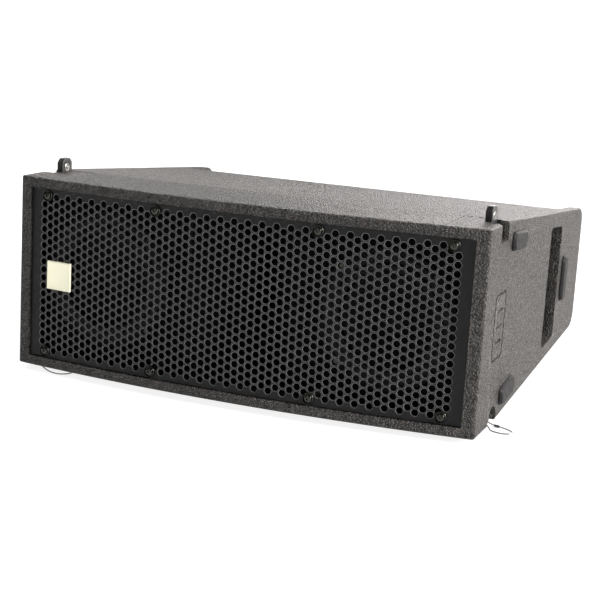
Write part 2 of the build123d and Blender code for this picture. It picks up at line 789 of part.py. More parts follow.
# ---- Front rigging ------------------------------------------------------------------------------
def rigging_tube(sign):
    """Full-height steel tube that guides the link bar and takes the next cabinet's bar below."""
    slot = (LINK_T / 2 + LINK_PLAY, LINK_WIDTH / 2 + LINK_PLAY)
    wall = (slot[0] + TUBE_WALL, slot[1] + TUBE_WALL)
    with BuildPart() as tube:
        with BuildSketch(level_plane(-HALF_H)):
            with Locations((sign * LINK_X, LINK_Y)):
                Rectangle(2 * wall[0], 2 * wall[1])
                Rectangle(2 * slot[0], 2 * slot[1], mode=Mode.SUBTRACT)
        extrude(amount=2 * HALF_H - PLATE_T)
        with BuildSketch(side_plane(sign * (LINK_X - 2 * wall[0]))):
            with Locations((LINK_Y, PIN_RISE - HALF_H)):
                Circle(PIN_BORE_R)
        extrude(amount=sign * 4 * wall[0], mode=Mode.SUBTRACT)
    return tube


def corner_plate(sign):
    """Steel plate let into the top panel around the link bar."""
    x_low, x_high = span(sign * PLATE_X, sign * INNER_W)
    with BuildPart() as plate:
        with BuildSketch(level_plane(HALF_H - PLATE_T)):
            with Locations(((x_low + x_high) / 2, sum(PLATE_Y) / 2)):
                Rectangle(x_high - x_low, PLATE_Y[1] - PLATE_Y[0])
            with Locations((sign * LINK_X, LINK_Y)):
                Rectangle(LINK_T + 2 * LINK_PLAY, LINK_WIDTH + 2 * LINK_PLAY, mode=Mode.SUBTRACT)
        extrude(amount=PLATE_T)
    return plate


def link_bar(sign):
    """Flat bar with a chamfered head and a cross hole; it slides down flush."""
    top = HALF_H + LINK_RISE
    with BuildPart() as bar:
        with BuildSketch(side_plane(sign * LINK_X - LINK_T / 2)) as outline:
            with Locations((LINK_Y, top - LINK_LENGTH / 2)):
                Rectangle(LINK_WIDTH, LINK_LENGTH)
            chamfer(outline.vertices().group_by(Axis.Y)[-1], LINK_CHAMFER)
            with Locations((LINK_Y, HALF_H + PIN_RISE)):
                Circle(LINK_HOLE_R, mode=Mode.SUBTRACT)
        extrude(amount=LINK_T)
    return bar


# ---- Quick-release pins -------------------------------------------------------------------------
SHAFT_END_X = 266.4
HEAD_X = (TUBE_X[1] + 0.2, 289.0)
WELL_DEPTH = 4.0
WELL_PLAY = 0.4
BUTTON_LENGTH = 3.2
BUTTON_START = 2.8
PIN_PLACE = (LINK_Y, PIN_RISE - HALF_H)
REAR_PIN_X = (-13.0, 13.0, 22.0)


def pin_body(place, shaft, head_end, direction):
    """Shaft and head along x, with the well that the release button sinks into."""
    with BuildPart() as pin:
        with BuildSketch(side_plane(direction * shaft[0])):
            with Locations(place):
                Circle(PIN_R)
        extrude(amount=direction * (shaft[1] - shaft[0]))
        with BuildSketch(side_plane(direction * shaft[1])):
            with Locations(place):
                Circle(HEAD_R)
        extrude(amount=direction * (head_end - shaft[1]))
        with BuildSketch(side_plane(direction * head_end)):
            with Locations(place):
                Circle(BUTTON_R + WELL_PLAY)
        extrude(amount=-direction * WELL_DEPTH, mode=Mode.SUBTRACT)
    return pin


def pin_button(place, head_end, direction):
    """Release button; it starts half out of its well."""
    with BuildPart() as button:
        with BuildSketch(side_plane(direction * (head_end - WELL_DEPTH + BUTTON_START))):
            with Locations(place):
                Circle(BUTTON_R)
        extrude(amount=direction * BUTTON_LENGTH)
    return button


# The loops lie on the ground that the cabinet stands on; the left one runs in under its front edge.
LOOP_POINTS = {
    "right": [(288.0, 87.0, -113.4), (297.0, 84.5, -116.3), (307.0, 83.0, -116.6), (316.0, 81.0, -117.6),
              (323.5, 75.0, -118.1), (319.0, 67.5, -118.7), (309.0, 66.3, -118.8), (297.5, 69.8, -118.5),
              (294.6, 76.0, -117.3), (288.0, 81.0, -114.0)],
    "left": [(-288.0, 87.0, -113.4), (-297.0, 84.5, -116.3), (-305.5, 79.0, -116.9), (-305.0, 65.0, -118.9),
             (-289.0, 49.0, -120.2), (-268.0, 31.0, -121.6), (-249.0, 17.0, -122.7), (-232.0, 13.5, -123.0),
             (-218.5, 25.0, -122.1), (-230.0, 44.0, -120.6), (-254.0, 56.0, -119.6), (-281.0, 61.0, -119.2),
             (-296.0, 67.0, -118.7), (-296.0, 76.0, -117.3), (-288.0, 81.0, -114.0)],
}
FERRULE_R = 1.6
FERRULE_SPAN = (1.5, 7.5)
BEND_SHARE = 0.45


def bend_radii(points):
    """As large an arc at each corner as the runs beside it allow."""
    spots = [Vector(*point) for point in points]
    radii = []
    for before, here, after in zip(spots, spots[1:], spots[2:]):
        run_in = here - before
        run_out = after - here
        half_turn = radians(run_in.get_angle(run_out) / 2)
        radii.append(BEND_SHARE * min(run_in.length, run_out.length) / tan(half_turn))
    return radii


def pull_loop(side):
    """Wire rope loop of a pin, both ends swaged into the pin's head."""
    spots = [CABINET.from_local_coords(Vector(*point)) for point in LOOP_POINTS[side]]
    radii = bend_radii(LOOP_POINTS[side])
    print(side, "loop radii", [round(radius, 1) for radius in radii])
    with BuildPart() as wire:
        with BuildLine() as route:
            FilletPolyline(*spots, radius=radii)
        path = route.wires()[0]
        with BuildSketch(Plane(origin=spots[0], z_dir=spots[1] - spots[0])):
            Circle(WIRE_R)
        sweep(path=path)
    print(side, "loop length", round(path.length, 1), "volume", round(wire.part.volume, 1))
    return wire


def loop_ferrule(side):
    """Swaged sleeve on the second run of the loop."""
    start, end = (Vector(*point) for point in LOOP_POINTS[side][1:3])
    run = (end - start).normalized()
    low, high = (CABINET.from_local_coords(start + run * reach) for reach in FERRULE_SPAN)
    with BuildPart() as sleeve:
        with BuildSketch(Plane(origin=low, z_dir=high - low)):
            Circle(FERRULE_R)
        extrude(amount=(high - low).length)
    return sleeve


# ---- Rear rigging -------------------------------------------------------------------------------
def rear_tray():
    """Steel tray sunk in the rear panel, with two ears for the splay link and its parked pin."""
    half = (TRAY_SIZE[0] / 2, TRAY_SIZE[1] / 2)
    front = CORE_REAR_Y - TRAY_DEPTH
    with BuildPart(CABINET) as tray:
        block((-half[0], front, TRAY_Z - half[1]), (half[0], CORE_REAR_Y, TRAY_Z + half[1]))
        block((TRAY_T - half[0], front + TRAY_T, TRAY_Z + TRAY_T - half[1]),
              (half[0] - TRAY_T, CORE_REAR_Y + 1, TRAY_Z + half[1] - TRAY_T), Mode.SUBTRACT)
        for _, sign in SIDES:
            mirrored_block(sign, EAR_X, EAR_X + EAR_T, (front + TRAY_T / 2, EAR_REAR_Y), EAR_Z)
        with BuildSketch(side_plane(-EAR_X - 2 * EAR_T)):
            with Locations(SPLAY_PIVOT, SPLAY_PARK):
                Circle(PIN_BORE_R)
        extrude(amount=2 * (EAR_X + 2 * EAR_T), mode=Mode.SUBTRACT)
    return tray


def splay_link():
    """Rear link with round ends, hanging plumb; its lower holes take the neighbour's pin."""
    pivot = CABINET.from_local_coords(Vector(-LINK_T / 2, *SPLAY_PIVOT))
    with BuildPart() as link:
        with BuildSketch(Plane(origin=pivot, x_dir=(0, 1, 0), z_dir=(1, 0, 0))):
            with Locations((0, -SPLAY_REACH / 2)):
                SlotCenterToCenter(SPLAY_REACH, LINK_WIDTH, rotation=90)
            Circle(PIN_BORE_R, mode=Mode.SUBTRACT)
            with Locations(*((0, -SPLAY_REACH + SPLAY_PITCH * step) for step in range(SPLAY_HOLES))):
                Circle(LINK_HOLE_R, mode=Mode.SUBTRACT)
        extrude(amount=LINK_T)
    return link


def splay_pivot():
    """Shoulder bolt with a head outside one ear and a nut outside the other."""
    outer = EAR_X + EAR_T + NUT_PLAY
    with BuildPart() as bolt:
        with BuildSketch(side_plane(-outer - NUT_T)):
            with Locations(SPLAY_PIVOT):
                Circle(PIN_R)
        extrude(amount=2 * (outer + NUT_T))
        for face in (-outer - NUT_T, outer):
            with BuildSketch(side_plane(face)):
                with Locations(SPLAY_PIVOT):
                    RegularPolygon(NUT_R, 6)
            extrude(amount=NUT_T)
    return bolt


# ---- Everything, one file per piece -------------------------------------------------------------
def build_all():
    """Every piece of the speaker by name."""
    pieces = {
        "top_panel": skin_panel(1),
        "bottom_panel": skin_panel(-1),
        "rear_panel": rear_panel(),
        "front_baffle": front_baffle(),
        "grille": grille(),
        "grille_screws": grille_screws(),
        "grille_washers": grille_washers(),
        "grille_posts": grille_posts(),
        "badge": badge(),
        "woofer_screws": woofer_screws(),
        "waveguide": waveguide(),
        "compression_driver": compression_driver(),
        "crossover_board": crossover_board(),
        "crossover_coils": standing_cylinders(COIL_PLACES, COIL_R[1], COIL_HEIGHT, COIL_R[0]),
        "crossover_capacitors": standing_cylinders(CAPACITOR_PLACES, CAPACITOR_R, CAPACITOR_HEIGHT),
        "crossover_resistors": crossover_resistors(),
        "cabinet_lining": cabinet_lining(),
        "connector_plate": connector_plate(),
        "input_socket": connector_socket(SOCKET_X[0]),
        "link_socket": connector_socket(SOCKET_X[1]),
        "panel_screws": panel_screws(),
        "rear_tray": rear_tray(),
        "splay_link": splay_link(),
        "splay_pivot": splay_pivot(),
        "rear_pin": pin_body(SPLAY_PARK, REAR_PIN_X[:2], REAR_PIN_X[2], 1),
        "rear_pin_button": pin_button(SPLAY_PARK, REAR_PIN_X[2], 1),
    }
    for side, sign in SIDES:
        pieces |= {
            f"{side}_side_panel": side_panel(sign),
            f"{side}_divider": divider(sign),
            f"{side}_handle_cup": handle_cup(sign),
            f"{side}_bumpers": side_bumpers(sign),
            f"{side}_woofer_basket": woofer_basket(sign),
            f"{side}_woofer_magnet": woofer_magnet(sign),
            f"{side}_woofer_surround": woofer_surround(sign),
            f"{side}_woofer_cone": woofer_cone(sign),
            f"{side}_dust_cap": dust_cap(sign),
            f"{side}_woofer_spider": woofer_spider(sign),
            f"{side}_rigging_tube": rigging_tube(sign),
            f"{side}_corner_plate": corner_plate(sign),
            f"{side}_link_bar": link_bar(sign),
            f"{side}_pin": pin_body(PIN_PLACE, (SHAFT_END_X, HEAD_X[0]), HEAD_X[1], sign),
            f"{side}_pin_button": pin_button(PIN_PLACE, HEAD_X[1], sign),
            f"{side}_pull_loop": pull_loop(side),
            f"{side}_loop_ferrule": loop_ferrule(side),
        }
    return pieces


os.makedirs("parts", exist_ok=True)
for piece_name, finished in build_all().items():
    save(finished, piece_name)
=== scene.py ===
import json
from math import asin, cos, hypot, pi, radians, sin, sqrt, tan

import bmesh
import bpy
from mathutils import Matrix, Vector


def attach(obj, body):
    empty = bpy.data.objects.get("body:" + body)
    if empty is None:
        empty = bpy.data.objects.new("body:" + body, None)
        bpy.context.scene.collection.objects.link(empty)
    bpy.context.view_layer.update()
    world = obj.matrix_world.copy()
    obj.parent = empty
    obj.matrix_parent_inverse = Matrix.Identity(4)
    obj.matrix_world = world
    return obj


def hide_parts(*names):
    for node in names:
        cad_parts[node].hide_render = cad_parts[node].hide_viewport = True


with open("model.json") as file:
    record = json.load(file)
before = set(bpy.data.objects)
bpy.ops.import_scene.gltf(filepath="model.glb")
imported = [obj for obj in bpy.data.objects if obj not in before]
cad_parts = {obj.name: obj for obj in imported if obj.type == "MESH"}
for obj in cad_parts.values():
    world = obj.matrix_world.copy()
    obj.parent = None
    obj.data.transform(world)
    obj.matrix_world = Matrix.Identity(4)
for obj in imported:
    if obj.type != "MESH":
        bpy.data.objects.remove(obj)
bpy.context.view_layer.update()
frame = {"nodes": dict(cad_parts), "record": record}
NODES = frame["nodes"]
MM = 0.001

# ---- The cabinet's own frame, in millimetres: x right, y to the rear, z up the leaning front --------
WEDGE = radians(4.6)
HALF_W, HALF_H = 293.0, 117.0
INNER_W, INNER_H = 278.0, 105.0
REAR_Y, LIP_Y, REAR_R, REAR_T = 523.0, 99.0, 22.0, 15.0
RECESS = 100.0
CORE_Y = REAR_Y - RECESS
SKIN_T = 12.0
GRILLE_R, GRILLE_T, RIM_PROUD, GRILLE_GAP = 2080.0, 1.5, 3.0, 0.8
# The speaker stands on its sloping underside, so this frame leans back by the wedge angle.
SEAT_Z = HALF_H * cos(WEDGE) + LIP_Y * sin(WEDGE)
TOP_REAR_Z = HALF_H - (REAR_Y - LIP_Y) * tan(WEDGE) - REAR_R
SEAT_Y = (HALF_H * sin(WEDGE) + RIM_PROUD * cos(WEDGE) - REAR_Y * cos(WEDGE) - TOP_REAR_Z * sin(WEDGE)) / 2
LEAN = Matrix.Rotation(-WEDGE, 4, "X")
SEAT = Matrix.Translation((0, SEAT_Y * MM, SEAT_Z * MM)) @ LEAN @ Matrix.Scale(MM, 4)
LINK_X, LINK_Y, LINK_T, LINK_WIDTH = 274.0, 84.0, 8.0, 22.0
PIN_RISE = 6.0
PIN_PLACE = (LINK_Y, PIN_RISE - HALF_H)
PLATE_X, PLATE_Y, PLATE_T = 240.0, (24.0, 95.5), 4.0
CLEAR_Z, CLEAR_Y = 140.0, 560.0
SIDES = (("left", -1), ("right", 1))


def at(x, y, z):
    """World point of a point in the cabinet frame."""
    return SEAT @ Vector((x, y, z))


# ---- Camera, lights, floor --------------------------------------------------------------------------
camera = bpy.data.objects.new("camera", bpy.data.cameras.new("camera"))
camera.location = (0.6570, -1.6605, 0.5877)
camera.rotation_euler = tuple(radians(a) for a in (73.572, -1.539, 22.590))
camera.data.lens = 84.85
camera.data.sensor_width = 36.0
bpy.context.scene.collection.objects.link(camera)
bpy.context.scene.camera = camera
bpy.context.scene.view_settings.view_transform = "Standard"

world = bpy.data.worlds.new("studio")
world.use_nodes = True
world.node_tree.nodes["Background"].inputs["Color"].default_value = (1.0, 0.99, 0.98, 1.0)
world.node_tree.nodes["Background"].inputs["Strength"].default_value = 0.13
bpy.context.scene.world = world


def far_light(name, around, up, power, spread, tint=(1.0, 1.0, 1.0)):
    """Wide even light from a direction: degrees from +x towards +y, and above the floor."""
    lamp = bpy.data.objects.new(name, bpy.data.lights.new(name, "SUN"))
    lamp.data.energy = power
    lamp.data.angle = radians(spread)
    lamp.data.color = tint
    turn, rise = radians(around), radians(up)
    aim = Vector((cos(turn) * cos(rise), sin(turn) * cos(rise), sin(rise)))
    lamp.rotation_euler = aim.to_track_quat("Z", "Y").to_euler()
    bpy.context.scene.collection.objects.link(lamp)


far_light("right_wall", 2, 25, 8.0, 30, (1.0, 0.975, 0.95))
far_light("right_rear_wall", 42, 24, 2.0, 40, (1.0, 0.96, 0.92))
far_light("rear_wall", 94, 14, 1.7, 28, (1.0, 0.96, 0.95))
far_light("rear_left_wall", 135, 33, 1.8, 40)
far_light("front_fill", -105, 30, 0.30, 30)


# ---- Materials --------------------------------------------------------------------------------------
class Finish:
    """A node material built up from patterns in object space, in metres."""

    def __init__(self, name, **sockets):
        self.material = bpy.data.materials.new(name)
        self.material.use_nodes = True
        self.tree = self.material.node_tree
        self.shader = self.tree.nodes["Principled BSDF"]
        self.place = self.tree.nodes.new("ShaderNodeTexCoord").outputs["Object"]
        self.height = None
        for key, value in sockets.items():
            self.shader.inputs[key.replace("_", " ")].default_value = value

    def node(self, kind, **settings):
        made = self.tree.nodes.new("ShaderNode" + kind)
        for key, value in settings.items():
            setattr(made, key, value)
        return made

    def join(self, source, target):
        self.tree.links.new(source, target)

    def noise(self, scale, detail=3.0, rough=0.55, stretch=(1, 1, 1), warp=0.0):
        place = self.stretched(stretch)
        made = self.node("TexNoise")
        made.inputs["Scale"].default_value = scale
        made.inputs["Detail"].default_value = detail
        made.inputs["Roughness"].default_value = rough
        made.inputs["Distortion"].default_value = warp
        self.join(place, made.inputs["Vector"])
        return made.outputs["Fac"]

    def stretched(self, stretch):
        if tuple(stretch) == (1, 1, 1):
            return self.place
        made = self.node("Mapping")
        made.inputs["Scale"].default_value = stretch
        self.join(self.place, made.inputs["Vector"])
        return made.outputs["Vector"]

    def cells(self, scale, feature="F1", smooth=None):
        made = self.node("TexVoronoi", feature=feature)
        made.inputs["Scale"].default_value = scale
        if smooth is not None:
            made.inputs["Smoothness"].default_value = smooth
        self.join(self.place, made.inputs["Vector"])
        return made.outputs["Distance"]

    def stripes(self, scale, direction):
        made = self.node("TexWave", wave_type="BANDS", wave_profile="SIN", bands_direction=direction)
        made.inputs["Scale"].default_value = scale
        self.join(self.place, made.inputs["Vector"])
        return made.outputs["Fac"]

    def ramp(self, source, low, high, start=0.0, end=1.0):
        """Map a pattern's start...end to low...high; colours or numbers."""
        made = self.node("ValToRGB")
        first, last = made.color_ramp.elements
        first.position, last.position = start, end
        for end_stop, value in ((first, low), (last, high)):
            end_stop.color = (*value, 1.0) if hasattr(value, "__len__") else (value, value, value, 1.0)
        self.join(source, made.inputs["Fac"])
        return made.outputs["Color"]

    def colour(self, source, low, high, start=0.3, end=0.7):
        out = self.ramp(source, low, high, start, end)
        self.join(out, self.shader.inputs["Base Color"])
        return out

    def mix_colour(self, factor, base, other):
        """Blend a colour output towards a fixed colour where factor is high."""
        made = self.node("Mix", data_type="RGBA")
        self.join(factor, made.inputs["Factor"])
        self.join(base, made.inputs["A"])
        made.inputs["B"].default_value = (*other, 1.0)
        self.join(made.outputs["Result"], self.shader.inputs["Base Color"])
        return made.outputs["Result"]

    def roughness(self, source, low, high, start=0.3, end=0.7):
        self.join(self.ramp(source, low, high, start, end), self.shader.inputs["Roughness"])

    def bump(self, source, distance, strength=1.0):
        """Add a relief on top of the ones before it; distance is in metres."""
        made = self.node("Bump")
        made.inputs["Strength"].default_value = strength
        made.inputs["Distance"].default_value = distance
        self.join(source, made.inputs["Height"])
        if self.height is not None:
            self.join(self.height, made.inputs["Normal"])
        self.height = made.outputs["Normal"]
        self.join(self.height, self.shader.inputs["Normal"])

    def edges(self, base, wear_and_highlight, start=0.52, end=0.62):
        """Lighten the colour towards a tint along convex edges: handling wear on most parts, a painted
        highlight along the grille's hole rims.
        """
        sharp = self.node("NewGeometry").outputs["Pointiness"]
        patchy = self.node("Math", operation="MULTIPLY")
        self.join(self.ramp(sharp, 0.0, 1.0, start, end), patchy.inputs[0])
        self.join(self.ramp(self.noise(180, 4), 0.0, 1.0, 0.42, 0.62), patchy.inputs[1])
        return self.mix_colour(patchy.outputs[0], base, wear_and_highlight)


def painted(name, colour, lit_grain_colour, grain, depth, rough):
    """Sprayed structured paint: clotted grains of many sizes over a slow unevenness; the raised grains are
    painted lighter and the hollows between them darker, as painted light and shade.
    """
    made = Finish(name, Roughness=rough, Specular_IOR_Level=0.42)
    clots_and_painted_light = made.noise(grain, 5, 0.85)
    # Painted light and shade: the colour follows the grain's height, light on the raised grains and dark in
    # the hollows.
    base = made.colour(clots_and_painted_light, colour, lit_grain_colour, 0.4, 0.62)
    made.edges(base, tuple(1.6 * c for c in lit_grain_colour))
    made.roughness(made.noise(grain * 2.4, 3), rough - 0.12, rough + 0.12)
    made.bump(made.noise(8, 2), 0.0006, 0.25)
    made.bump(clots_and_painted_light, depth * 1.6, 1.0)
    made.bump(made.cells(grain * 2.6, "SMOOTH_F1", 0.2), -depth, 1.0)
    return made.material


def coated(name, colour, rough, grain=1900, depth=0.00006, wear_and_highlight=None, shine=0.5):
    """Smooth powder coat with fine orange peel, its edges lightened towards a tint: a little handling wear,
    and on the grille a painted highlight along the hole rims.
    """
    made = Finish(name, Roughness=rough, Specular_IOR_Level=shine)
    base = made.colour(made.noise(35, 4), colour, tuple(1.25 * c for c in colour))
    if wear_and_highlight:
        made.edges(base, wear_and_highlight)
    made.roughness(made.noise(90, 5, 0.65), rough - 0.07, rough + 0.12)
    made.bump(made.noise(grain, 2), depth, 0.5)
    made.bump(made.noise(240, 2), depth * 2, 0.25)
    return made.material


def metal(name, colour, rough, brushed=(1, 1, 1)):
    """Bare or plated metal with drawn lines along one direction and faint spots."""
    made = Finish(name, Metallic=1.0, Roughness=rough)
    base = made.colour(made.noise(70, 5), tuple(0.82 * c for c in colour), colour)
    made.edges(base, tuple(min(1.0, 1.35 * c) for c in colour), 0.5, 0.6)
    made.roughness(made.noise(700, 3, 0.6, brushed), rough - 0.08, rough + 0.14)
    made.bump(made.noise(900, 3, 0.6, brushed), 0.00003, 0.4)
    return made.material


def plastic(name, colour, rough, grain=1100, depth=0.00008, shine=0.5):
    """Moulded plastic with an eroded texture."""
    made = Finish(name, Roughness=rough, Specular_IOR_Level=shine)
    made.colour(made.noise(26, 3), colour, tuple(1.4 * c for c in colour))
    made.roughness(made.noise(150, 4), rough - 0.06, rough + 0.1)
    made.bump(made.cells(grain, "SMOOTH_F1", 0.5), depth, 0.6)
    made.bump(made.noise(grain * 1.8, 3), depth * 0.6, 0.5)
    return made.material


def rubbery(name, colour, rough=0.62):
    """Matt rubber, rubbed grey along its edges."""
    made = Finish(name, Roughness=rough)
    base = made.colour(made.noise(60, 4), colour, tuple(1.8 * c for c in colour))
    made.edges(base, tuple(4.0 * c for c in colour))
    made.shader.inputs["Specular IOR Level"].default_value = 0.22
    made.roughness(made.noise(210, 3), rough - 0.1, rough + 0.12)
    made.bump(made.noise(1300, 3), 0.00007, 0.5)
    return made.material


def pulp(name, colour):
    """Pressed paper: short fibres and felt-like bumps."""
    made = Finish(name, Roughness=0.85, Specular_IOR_Level=0.2)
    made.colour(made.noise(420, 5, 0.7, (1, 1, 1), 1.5), colour, tuple(2.4 * c for c in colour))
    made.bump(made.noise(520, 5, 0.7, (1, 1, 1), 2.0), 0.00012, 0.7)
    made.bump(made.cells(160), 0.0001, 0.3)
    return made.material


def felted(name, colour):
    """Matted fibres with a soft sheen."""
    made = Finish(name, Roughness=0.95)
    made.colour(made.noise(300, 6, 0.75, (1, 1, 1), 2.5), colour, tuple(2.6 * c for c in colour))
    made.shader.inputs["Sheen Weight"].default_value = 0.4
    made.shader.inputs["Sheen Roughness"].default_value = 0.6
    made.bump(made.noise(420, 6, 0.8, (1, 1, 1), 3.0), 0.0006, 0.8)
    return made.material


def woven(name, colour, pitch=900):
    """Plain weave: two sets of stripes multiplied."""
    made = Finish(name, Roughness=0.7)
    across, along = made.stripes(pitch, "X"), made.stripes(pitch, "Z")
    weave = made.node("Math", operation="MULTIPLY")
    made.join(across, weave.inputs[0])
    made.join(along, weave.inputs[1])
    made.colour(weave.outputs[0], tuple(0.5 * c for c in colour), colour, 0.05, 0.6)
    made.bump(weave.outputs[0], 0.0002, 0.6)
    return made.material


def badge_finish():
    """Cream lacquer, slightly cloudy."""
    made = Finish("badge_cream", Roughness=0.35)
    made.colour(made.noise(45, 3), (0.96, 0.94, 0.68), (1.0, 0.98, 0.78))
    made.shader.inputs["Coat Weight"].default_value = 0.3
    made.roughness(made.noise(160, 4), 0.28, 0.42)
    made.bump(made.noise(700, 2), 0.00003, 0.4)
    return made.material


# Much lighter coat for the grille's hole rims, and lighter still along their edges: a painted highlight on
# the rims.
PAINTED_RIM_HIGHLIGHT = coated("grille_rim_painted_highlight", (0.060, 0.060, 0.062), 0.36, 700, 0.0003, (0.25, 0.25, 0.25))
LOOKS = {
    # The lighter of these two tones lies on the raised grains: painted light on the cabinet paint.
    "cabinet_paint": painted("structured_paint", (0.009, 0.0083, 0.0078), (0.098, 0.089, 0.082),
                             170, 0.0042, 0.43),
    # Baffle, woofer frames, cones and waveguide are black, and darker still than their own black: painted
    # shade for the dim inside behind the grille.
    "baffle_paint": coated("baffle_black_and_painted_shade", (0.001, 0.001, 0.001), 0.9, 700, 0.0001, None, 0.15),
    # The grille coat's lighter edge tint lies along the hole rims: a painted highlight.
    "grille_coat": coated("grille_coat", (0.0022, 0.0023, 0.0028), 0.5, 700, 0.0005,
                          (0.16, 0.16, 0.165), 0.3),
    "rigging_coat": coated("rigging_coat", (0.005, 0.005, 0.0055), 0.42, 1500, 0.00008, (0.10, 0.10, 0.10)),
    # Darker than its own black: painted shade inside the cabinet.
    "frame_coat": coated("frame_coat", (0.002, 0.002, 0.0022), 0.75, 1500, 0.00003, None, 0.2),
    "bright_steel": metal("plated_steel", (0.62, 0.61, 0.59), 0.28, (1, 6, 6)),
    "dark_steel": metal("black_oxide", (0.050, 0.052, 0.046), 0.22, (3, 3, 3)),
    "badge_plate": badge_finish(),
    "rubber": rubbery("bumper_rubber", (0.0034, 0.0031, 0.0034), 0.6),
    # Darker than its own black: painted shade inside the cabinet.
    "cone_paper": pulp("cone_pulp_and_painted_shade", (0.0018, 0.0018, 0.002)),
    "spider_cloth": woven("spider_cloth", (0.30, 0.19, 0.07)),
    "ferrite": plastic("ferrite", (0.035, 0.035, 0.038), 0.45, 500, 0.0001),
    # Darker than its own black: painted shade inside the cabinet.
    "guide_plastic": plastic("guide_plastic", (0.0015, 0.0015, 0.0016), 0.7, 1100, 0.00008, 0.2),
    "cup_plastic": plastic("cup_plastic", (0.003, 0.0036, 0.0034), 0.4, 520, 0.0012, 0.3),
    "lining_felt": felted("lining_felt", (0.07, 0.07, 0.075)),
    "circuit_board": plastic("circuit_board", (0.01, 0.09, 0.035), 0.35, 300, 0.00005),
    "copper_wire": metal("copper_wire", (0.75, 0.33, 0.17), 0.3),
    "capacitor_film": plastic("capacitor_film", (0.45, 0.32, 0.06), 0.3, 200, 0.00004),
    "resistor_cement": plastic("resistor_cement", (0.55, 0.53, 0.48), 0.8, 900, 0.0001),
    "socket_plastic": plastic("socket_plastic", (0.012, 0.012, 0.014), 0.35),
    "wire_rope": metal("wire_rope", (0.30, 0.29, 0.28), 0.3),
    "ferrule_alloy": metal("ferrule_alloy", (0.12, 0.12, 0.12), 0.3),
    "release_button": metal("release_button", (0.08, 0.08, 0.085), 0.35),
}
SLOTS = {row["node"]: row["material_slot"] for row in frame["record"]["subparts"]}
for name, node in NODES.items():
    node.data.materials.clear()
    node.data.materials.append(LOOKS[SLOTS[name]])


# ---- Mesh helpers -----------------------------------------------------------------------------------
def link(name, mesh):
    """New object in the scene."""
    made = bpy.data.objects.new(name, mesh)
    bpy.context.scene.collection.objects.link(made)
    return made


def from_points(name, points, faces):
    """Object from points of the cabinet frame; it keeps those millimetres until settle()."""
    mesh = bpy.data.meshes.new(name)
    mesh.from_pydata([tuple(p) for p in points], [], faces)
    mesh.update()
    return link(name, mesh)


def face_out(piece, weld=0.0):
    """Weld points closer than weld and turn every face outwards."""
    mesh = bmesh.new()
    mesh.from_mesh(piece.data)
    if weld:
        bmesh.ops.remove_doubles(mesh, verts=mesh.verts, dist=weld)
    bmesh.ops.recalc_face_normals(mesh, faces=mesh.faces)
    mesh.to_mesh(piece.data)
    mesh.free()
    return piece


def prism(name, outline, axis, low, high):
    """Closed prism along axis x, y or z of the cabinet frame; outline is in the two other axes."""
    order = {"x": lambda u, v, w: (w, u, v),
             "y": lambda u, v, w: (u, w, v),
             "z": lambda u, v, w: (u, v, w)}[axis]
    count = len(outline)
    points = [order(u, v, w) for w in (low, high) for u, v in outline]
    faces = [tuple(range(count)), tuple(range(count, 2 * count))]
    faces += [(i, (i + 1) % count, (i + 1) % count + count, i + count) for i in range(count)]
    return face_out(from_points(name, points, faces))


def apply_all(piece):
    """Apply the modifiers."""
    bpy.context.view_layer.update()
    done = bpy.data.meshes.new_from_object(piece.evaluated_get(bpy.context.evaluated_depsgraph_get()))
    piece.modifiers.clear()
    piece.data = done


def settle(piece, angle=30):
    """Apply what is stacked on a piece, put it in the world frame and shade it."""
    apply_all(piece)
    piece.data.transform(SEAT)
    piece.data.polygons.foreach_set("use_smooth", [True] * len(piece.data.polygons))
    piece.data.set_sharp_from_angle(angle=radians(angle))
    return piece


def cut(piece, *tools):
    """Take tools away from a piece."""
    for tool in tools:
        step = piece.modifiers.new("cut", "BOOLEAN")
        step.operation = "DIFFERENCE"
        step.solver = "EXACT"
        step.object = tool
        apply_all(piece)
        bpy.data.objects.remove(tool)


def soften(piece, width, segments=3, angle=30):
    """Round the edges that turn by more than angle."""
    step = piece.modifiers.new("edge", "BEVEL")
    step.width = width
    step.segments = segments
    step.limit_method = "ANGLE"
    step.angle_limit = radians(angle)
    step.harden_normals = False
    apply_all(piece)


def rounded(width, height, radius, steps=6, centre=(0, 0), turn=0.0):
    """Outline of a rounded rectangle."""
    points = []
    for quarter, (sx, sy) in enumerate(((1, 1), (-1, 1), (-1, -1), (1, -1))):
        for step in range(steps + 1):
            angle = pi / 2 * (quarter + step / steps)
            points.append((sx * (width / 2 - radius) + radius * cos(angle),
                           sy * (height / 2 - radius) + radius * sin(angle)))
    c, s = cos(turn), sin(turn)
    return [(centre[0] + u * c - v * s, centre[1] + u * s + v * c) for u, v in points]


def circle(radius, centre, steps):
    """Outline of a circle."""
    return [(centre[0] + radius * cos(2 * pi * i / steps), centre[1] + radius * sin(2 * pi * i / steps))
            for i in range(steps)]


def rect(u0, u1, v0, v1):
    """Outline of a rectangle between two values of each axis."""
    return [(u0, v0), (u1, v0), (u1, v1), (u0, v1)]


def ring_faces(count, rings):
    """Side faces of rings stacked on each other, count points in each, and the two end caps."""
    faces = []
    for ring in range(rings - 1):
        for i in range(count):
            a, b = ring * count + i, ring * count + (i + 1) % count
            faces.append((a, b, b + count, a + count))
    faces.append(tuple(reversed(range(count))))
    faces.append(tuple(range((rings - 1) * count, rings * count)))
    return faces


def finish_piece(piece, body, look, *replaced):
    """Material, body and the CAD nodes that a piece stands for."""
    piece.data.materials.clear()
    piece.data.materials.append(LOOKS[look])
    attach(piece, body)
    if replaced:
        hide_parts(*replaced)
    return piece


